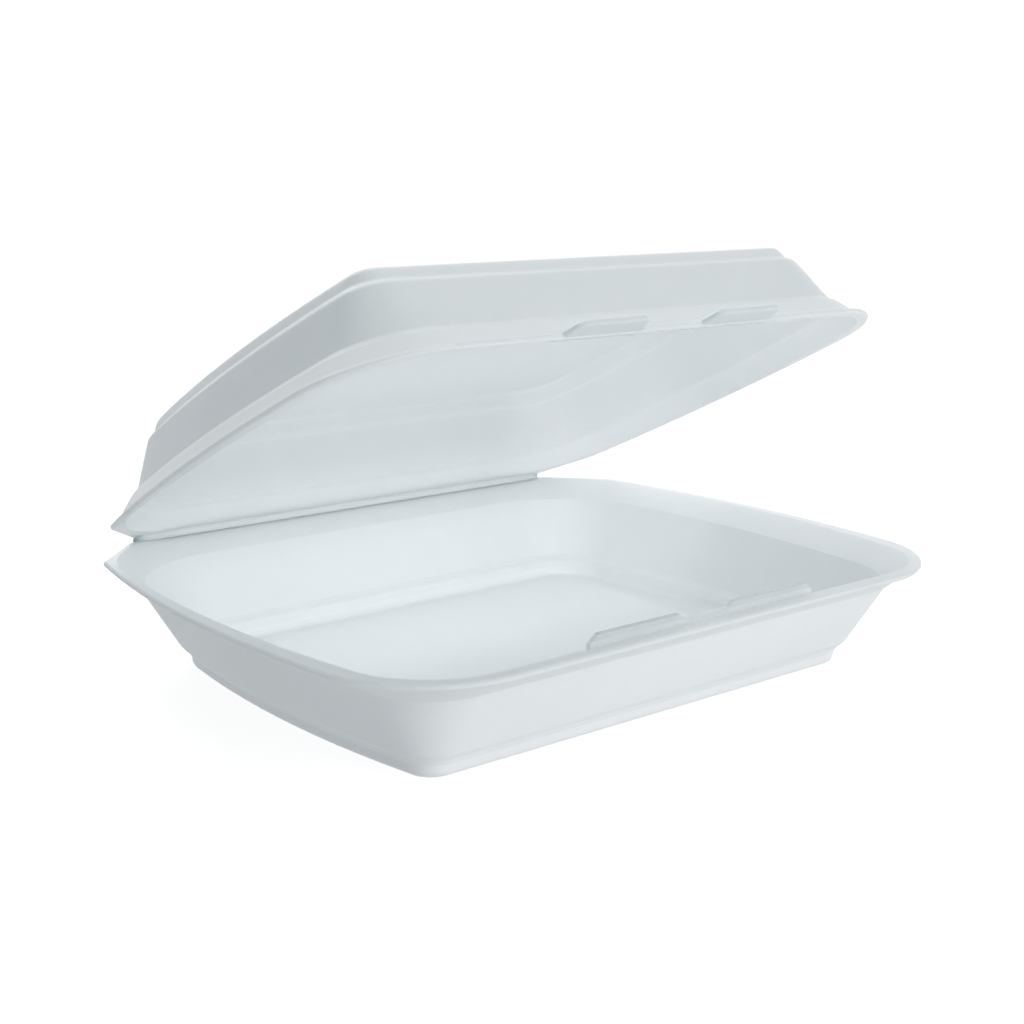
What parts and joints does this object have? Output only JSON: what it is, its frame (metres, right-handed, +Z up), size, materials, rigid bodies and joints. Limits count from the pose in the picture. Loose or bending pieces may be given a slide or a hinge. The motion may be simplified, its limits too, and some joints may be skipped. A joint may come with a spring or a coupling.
{
  "type": "foam clamshell container",
  "caption": "White foam meal box: a shallow tray with bowed sides and a hinged domed lid with a raised top panel, pull tabs at the front and tongues on the tray's rim that close it.",
  "frame": {"origin": "middle of the tray's foot, on the surface the container stands on", "axes": "+X along the hinge, +Y from the closing edge to the hinge, +Z up"},
  "size_m": [0.24, 0.192, 0.1368],
  "materials": {
    "foam": "white foam sheet with a soft sheen and a fine cell grain"
  },
  "bodies": {
    "tray": {"tray": "foam"},
    "lid": {"lid": "foam"}
  },
  "joints": [
    {"name": "lid_hinge", "type": "hinge", "parent": "tray", "child": "lid", "pos_m": [0, 0.0922, 0.03575], "axis": [-1, 0, 0], "range_deg": [-26, 154]}
  ]
}
